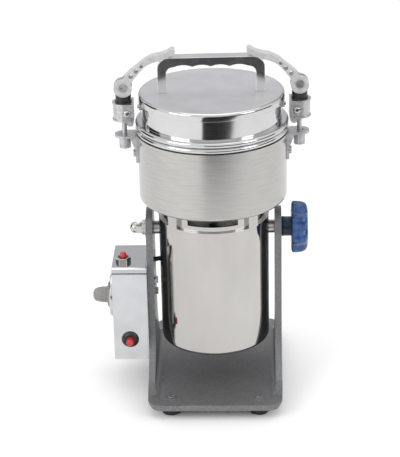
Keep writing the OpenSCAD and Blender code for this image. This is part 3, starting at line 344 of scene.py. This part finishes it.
# %% [markdown]
# CAD edges are perfectly sharp, and real ones are not: a folded sheet, a casting or a machined block always
# has a small radius that shows as a bright line. A bevel modifier would also round the facets' own edges. So a
# copy of the CAD mesh is merged, its flat facets are joined, and only the edges that stay sharp are bevelled.
# Normals weighted by area then keep the large faces flat, which matters on mirrors.


# %% A helper for soft edges
def wear(node, body, width, finish, weld=2e-6, flat_degrees=0.6, shortest=0.2, segments=2, weld_after=1e-6,
         weight=100):
    """A copy of a CAD node with softened edges, which stands for it. An edge that is shorter than the bevel's
    width times shortest stays sharp, because a bevel would fold over on it."""
    source = frame["nodes"][node]
    bm = bmesh.new()
    bm.from_mesh(source.data)
    bmesh.ops.remove_doubles(bm, verts=bm.verts, dist=weld)
    bmesh.ops.dissolve_limit(bm, angle_limit=math.radians(flat_degrees), verts=bm.verts, edges=bm.edges)
    sharp = [e for e in bm.edges if len(e.link_faces) == 2 and e.calc_face_angle(0) > math.radians(sharp_degrees)
             and e.calc_length() > width * shortest]
    bmesh.ops.bevel(bm, geom=sharp, offset=width, offset_type="OFFSET", affect="EDGES", segments=segments,
                    profile=0.5, material=-1, clamp_overlap=True)
    bmesh.ops.remove_doubles(bm, verts=bm.verts, dist=weld_after)
    made = object_of("worn_" + node, bm)
    made.data.materials.append(finish)
    made.data.shade_smooth()
    made.data.set_sharp_from_angle(angle=math.radians(sharp_degrees))
    even = made.modifiers.new("even_normals", "WEIGHTED_NORMAL")
    even.keep_sharp, even.weight = True, weight
    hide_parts(node)
    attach(made, body)
    return made


# %% [markdown]
# Nodes with edges in sight are replaced by a worn copy. The widths, in millimetres, are the radii that such
# pieces have: a casting has about a millimetre, folded sheet a few tenths, and small machined pieces less.

# %% Worn copies
edge_widths = {"stand": 1.2, "control_box": 0.5, "collar": 0.4, "lid_handle": 0.8, "reset_nut": 0.4,
               "block_left": 0.5, "block_right": 0.5, "lever_left": 1.0, "lever_right": 1.0, "brackets": 0.4,
               "washers_left": 0.4, "washers_right": 0.4, "nut_left": 0.4, "nut_right": 0.4, "pin_left": 0.25,
               "pin_right": 0.25, "acorn_nut": 0.4, "pivot_washers": 0.3, "spacers": 0.4, "foot_screws": 0.25,
               "box_screws": 0.25, "bracket_screws": 0.25, "timer_plate": 0.3, "lid_ears": 0.4, "feet": 0.6,
               "bezel": 0.3, "bowl": 0.3, "motor_housing": 0.25, "lid": 0.3, "reset_button": 0.4,
               "front_button": 0.5}
worn = {}
for node, width in edge_widths.items():
    worn[node] = wear(node, body_of_node[node], width * MM, finish_on(node))
    print(worn[node].name, len(worn[node].data.polygons), "faces")

# %% [markdown]
# The lid is polished all over but for its disc, which has a finer, duller grain. Both are one pressed sheet,
# so the disc isn't a piece of its own: the faces that look up at the lid's top take a second material.

# %% The lid's disc
looks_up, disc_depth = 0.99, 0.3 * MM
lid_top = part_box("lid")[1][2]
worn["lid"].data.materials.append(disc_steel)
disc_faces = [face for face in worn["lid"].data.polygons
              if face.normal.z > looks_up and face.center.z > lid_top - disc_depth]
for face in disc_faces:
    face.material_index = 1
print(len(disc_faces), "faces in the disc")

# %% [markdown]
# A lever of this kind is drop-forged in a strong S: steep at its cam, flat over the handle's corner, and up
# again at its tip. The CAD arm is a gentler curve, so the scene's copy is bent to it. Every vertex is lifted
# by an amount that depends only on its distance from the pin, as a press would, and the slot, the holes and
# the cam stay whole. The table holds distances from the pin and lifts, both in millimetres.

# %% The levers' S
lever_lift = [(9.0, 0.0), (13.1, 0.0), (17.4, 1.2), (21.9, 2.7), (26.7, 3.4), (31.9, 2.4), (37.7, 0.2),
              (44.2, -1.9), (51.5, -3.0), (60.0, -3.0)]
clamp_yaw = 2
clamp_turn = {"left": math.radians(180 + clamp_yaw), "right": math.radians(clamp_yaw)}


def lift_at(distance):
    """The lift at a distance from the pin, on straight lines between the table's points."""
    for (near, low), (far, high) in zip(lever_lift, lever_lift[1:]):
        if near <= distance < far:
            return low + (high - low) * (distance - near) / (far - near)
    return 0.0 if distance < lever_lift[0][0] else lever_lift[-1][1]


def soft_lift(distance):
    """The mean of five lifts, a millimetre apart, which rounds the table's corners."""
    return sum(lift_at(distance + step) for step in (-2, -1, 0, 1, 2)) / 5


for name, turn in clamp_turn.items():
    inward = Vector((-math.cos(turn), -math.sin(turn), 0))
    pin = middle("pin_" + name)
    lever = worn["lever_" + name]
    for v in lever.data.vertices:
        v.co.z += soft_lift((v.co - pin).dot(inward) / MM) * MM
    lever.data.update()
    print(lever.name, "bent, its tip at", round(max(v.co.z for v in lever.data.vertices), 4))

# %% [markdown]
# Knobs and screw heads are turned or moulded round an axis. A spin would make the round ones, but not a star
# of soft lobes. A ring of vertices whose radius follows a wave makes both. Extruding that ring again and
# again, with each new ring a little smaller, turns the rim over into the face, as a mould maker's profile
# would.


# %% Helpers for knobs
def knob_mesh(rings, lobes, depth, sides=168, power=1.0):
    """Rings are (height, radius, how much of the lobes shows there); the knob stands on +Z."""
    bm = bmesh.new()
    bmesh.ops.create_circle(bm, cap_ends=False, segments=sides, radius=1)
    ring = sorted(bm.verts, key=lambda v: math.atan2(v.co.y, v.co.x))
    angles = [math.atan2(v.co.y, v.co.x) for v in ring]

    def shape(verts, height, radius, share):
        for v, angle in zip(verts, angles):
            wave = (0.5 - 0.5 * math.cos(lobes * angle)) ** power
            reach = radius - depth * share * (1 - wave)
            v.co = (reach * math.cos(angle), reach * math.sin(angle), height)

    shape(ring, *rings[0])
    first = list(bm.edges)
    loop = first
    for height, radius, share in rings[1:]:
        out = bmesh.ops.extrude_edge_only(bm, edges=loop)["geom"]
        new = [g for g in out if isinstance(g, bmesh.types.BMVert)]
        loop = [g for g in out if isinstance(g, bmesh.types.BMEdge)]
        loop = [e for e in loop if all(v in new for v in e.verts)]
        order = sorted(new, key=lambda v: math.atan2(v.co.y, v.co.x))
        shape(order, height, radius, share)
    bmesh.ops.contextual_create(bm, geom=loop)
    bmesh.ops.contextual_create(bm, geom=first)
    bmesh.ops.recalc_face_normals(bm, faces=bm.faces)
    return bm


def turned(profile, sides):
    """A round piece on +Z from a profile of heights and radii in millimetres."""
    return knob_mesh([(height * MM, radius * MM, 0) for height, radius in profile], lobes=1, depth=0,
                     sides=sides)


def place_piece(name, bm, turn, finish, body, replaced=(), angle=sharp_degrees):
    """Writes a bmesh as a finished piece in the mill's own coordinates."""
    bmesh.ops.transform(bm, verts=bm.verts, matrix=turn)
    made = object_of(name, bm)
    made.data.materials.append(finish)
    made.data.shade_smooth()
    made.data.set_sharp_from_angle(angle=math.radians(angle))
    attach(made, body)
    if replaced:
        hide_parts(*replaced)
    print(name, len(made.data.polygons), "faces")
    return made


def along_x(origin, direction):
    """Turns +Z to +X or to -X, by the direction's sign, and moves the start to a place."""
    return Matrix.Translation(origin) @ Matrix.Rotation(math.radians(direction * 90), 4, "Y")


# %% [markdown]
# The lock knob is a star of seven soft lobes with a domed face, moulded on a round neck. A power below one
# makes the lobes broad and the dips between them narrow. The rim's table holds shares of the head's length
# and radius, so the head fits whatever size the CAD knob has; the neck keeps its own profile.

# %% The lock knob
knob_low, knob_high = (Vector(corner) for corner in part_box("lock_knob"))
knob_radius = (knob_high.z - knob_low.z) / 2
neck_length, neck_radius, neck_overlap = 10, 10.3, 2
knob_length = knob_high.x - knob_low.x - neck_length * MM
lobes, lobe_depth, lobe_power = 7, 4.2 * MM, 0.55
rim = [(0.0, 0.86, 0.8), (0.02, 0.93, 0.95), (0.07, 0.985, 1.0), (0.16, 1.0, 1.0), (0.45, 0.99, 1.0),
       (0.68, 0.965, 1.0), (0.82, 0.925, 0.95), (0.92, 0.86, 0.85), (0.975, 0.78, 0.65), (1.0, 0.68, 0.45),
       (1.0, 0.50, 0.2), (0.985, 0.30, 0.0)]
head = knob_mesh([(h * knob_length, r * knob_radius, s) for h, r, s in rim], lobes, lobe_depth, power=lobe_power)
place_piece("lock_knob_head", head, along_x((knob_low.x + neck_length * MM, 0, pivot.z), 1), blue_marble, "lock",
            ["lock_knob"], angle=60)
neck = turned([(0, 9.6), (0.4, 10.4), (1.2, 10.75), (2.2, 10.75), (2.4, neck_radius), (neck_length, neck_radius),
               (neck_length + neck_overlap, neck_radius)], sides=96)
place_piece("lock_knob_neck", neck, along_x((knob_low.x, 0, pivot.z), 1), blue_speckle, "lock")

# %% [markdown]
# The timer knob is a small moulding too: a skirt with a bevelled rim, and a grip with shallow flutes and a
# rounded end. The grip stands a little further out than the CAD's plain one, as it does in the photograph.

# %% The timer knob
dial = middle("timer_plate")
knob_box = [Vector(corner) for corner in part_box("timer_knob")]
dial_face_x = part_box("timer_plate")[0][0]
knob_sink, grip_past_cad = 0.3 * MM, 3.5 * MM
knob_seat_x = dial_face_x - knob_sink
grip_top = knob_seat_x - knob_box[0].x + grip_past_cad
timer_turn = along_x((knob_seat_x, 0, dial.z), -1)
skirt = turned([(0, 13.6), (0.3, 14.0), (1.4, 14.0), (2.4, 13.0), (2.7, 11.5), (2.6, 8.6)], sides=96)
place_piece("timer_knob_skirt", skirt, timer_turn, grey_plastic, "timer", ["timer_knob"],
            angle=50)
flutes, flute_depth = 18, 0.5 * MM
grip_foot = [(2.2 * MM, 8.9, 1), (3.2 * MM, 8.8, 1)]
grip_rise = [(grip_top * 0.50, 8.4, 1), (grip_top * 0.72, 7.7, 0.9), (grip_top * 0.87, 6.7, 0.6),
             (grip_top * 0.96, 5.2, 0.2), (grip_top, 3.2, 0), (grip_top * 1.005, 1.2, 0)]
grip = knob_mesh([(height, radius * MM, share) for height, radius, share in grip_foot + grip_rise], flutes,
                 flute_depth, sides=180)
place_piece("timer_knob_grip", grip, timer_turn, grey_plastic, "timer", angle=50)

# %% [markdown]
# The dial has raised minute marks round its knob. One small bar is made for each mark and turned to its place
# on the circle, longer and wider at every fifth.

# %% Minute marks
mark_count, mark_step, first_mark, mark_circle = 31, 10, -150, 16.0 * MM
short_mark, long_mark, mark_height, mark_sink = (2.0 * MM, 0.45 * MM), (3.4 * MM, 0.7 * MM), 0.5 * MM, 0.05 * MM
marks = bmesh.new()
for i in range(mark_count):
    reach, breadth = short_mark if i % 5 else long_mark
    bar = bmesh.ops.create_cube(marks, size=1)["verts"]
    bmesh.ops.scale(marks, verts=bar, vec=(reach, breadth, mark_height))
    bmesh.ops.translate(marks, verts=bar, vec=(mark_circle + reach / 2, 0, 0))
    bmesh.ops.rotate(marks, verts=bar, cent=(0, 0, 0),
                     matrix=Matrix.Rotation(math.radians(i * mark_step + first_mark), 3, "Z"))
place_piece("timer_marks", marks, along_x((dial_face_x - mark_sink, 0, dial.z), -1), black_plastic,
            "stand_body")

# %% [markdown]
# Each clamp block is closed by a cross-head screw on its front. A turned head is a few rings again. The cross
# recess isn't cut: two thin black bars, a hair proud, are painted shade that reads as the recess at this size.

# %% The clamp blocks' screws
screw_out, screw_front, screw_above = 86.5 * MM, 11.0 * MM, 1.5 * MM
head_profile = [(-0.2, 3.9), (0.5, 3.9), (1.2, 3.5), (1.8, 2.7), (2.1, 1.6), (2.2, 0.6)]
# The size of the bars of painted shade, and how high above the head's seat they stand.
bar_size, bar_height = (3.6 * MM, 0.7 * MM, 0.5 * MM), 2.0 * MM
for side, body in ((-1, "clamp_left"), (1, "clamp_right")):
    low, high = (Vector(corner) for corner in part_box("block_left" if side < 0 else "block_right"))
    turn = clamp_turn["left" if side < 0 else "right"]
    front_at = -side * screw_front
    seat = Vector((head_axis_x + math.cos(turn) * screw_out - math.sin(turn) * front_at,
                   math.sin(turn) * screw_out + math.cos(turn) * front_at, (low.z + high.z) / 2 + screw_above))
    stand_up = Matrix.Translation(seat) @ Matrix.Rotation(math.radians(clamp_yaw), 4, "Z") @ Matrix.Rotation(
        math.radians(90), 4, "X")
    place_piece("block_screw_" + body, turned(head_profile, sides=64), stand_up, mirror_steel, body,
                angle=40)
    # Two crossed bars of painted shade, in the black plastic finish, stand in for the screw head's dark recess.
    painted_recess_shade = bmesh.new()
    for quarter in (45, 135):
        bar = bmesh.ops.create_cube(painted_recess_shade, size=1)["verts"]
        bmesh.ops.scale(painted_recess_shade, verts=bar, vec=bar_size)
        bmesh.ops.rotate(painted_recess_shade, verts=bar, cent=(0, 0, 0),
                         matrix=Matrix.Rotation(math.radians(quarter), 3, "Z"))
        bmesh.ops.translate(painted_recess_shade, verts=bar, vec=(0, 0, bar_height))
    place_piece("block_painted_recess_shade_" + body, painted_recess_shade, stand_up, black_plastic, body)

# %% [markdown]
# The motor's lead is flexible, so it is drawn along its own droop: a smooth curve with a round bevel, made a
# mesh. The droop is how far the curve's guide points lie from the upper end, outward and down, in
# millimetres.

# %% The motor lead
lead_radius, lead_inset, lead_weld = 2.5 * MM, 1.5 * MM, 1e-6
droop = [(0, 2.5), (6, 2.6), (12, 4)]
lead_low, lead_high = (Vector(corner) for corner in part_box("motor_lead"))
path = [(lead_high.x - outward * MM, 0, lead_high.z - down * MM) for outward, down in droop]
path.append((lead_low.x + lead_inset, 0, lead_low.z + lead_radius))
curve = bpy.data.curves.new("lead_path", "CURVE")
curve.dimensions, curve.bevel_depth, curve.use_fill_caps = "3D", lead_radius, True
curve.bevel_resolution, curve.resolution_u = 6, 16
spline = curve.splines.new("NURBS")
spline.points.add(len(path) - 1)
for point, at in zip(spline.points, path):
    point.co = (*at, 1)
spline.use_endpoint_u, spline.order_u = True, 4
drawn = bpy.data.objects.new("lead_drawn", curve)
bpy.context.collection.objects.link(drawn)
lead_mesh = bpy.data.meshes.new_from_object(drawn.evaluated_get(bpy.context.evaluated_depsgraph_get()))
bpy.data.objects.remove(drawn)
lead_bm = bmesh.new()
lead_bm.from_mesh(lead_mesh)
bmesh.ops.remove_doubles(lead_bm, verts=lead_bm.verts, dist=lead_weld)
lead = object_of("lead_tube", lead_bm)
lead.data.materials.append(black_rubber)
lead.data.shade_smooth()
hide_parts("motor_lead")
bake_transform(lead)
print("lead", [round(v, 4) for v in lead.dimensions])

# %% [markdown]
# A pale floor, wide enough to fill the view, catches the soft shadow under the feet. It is nearly white, as
# the photograph's background is, so the shadow is faint.

# %% Floor
floor_half = 6
floor = object_of("floor", square_sheet(floor_half))
floor.data.materials.append(finish_of("pale_floor", colours=((0.92, 0.92, 0.92), (0.94, 0.94, 0.94)),
                                      roughness=(0.6, 0.7), scale=3, bump=0.01))
print("floor", round(floor.dimensions.x, 1), "m wide")
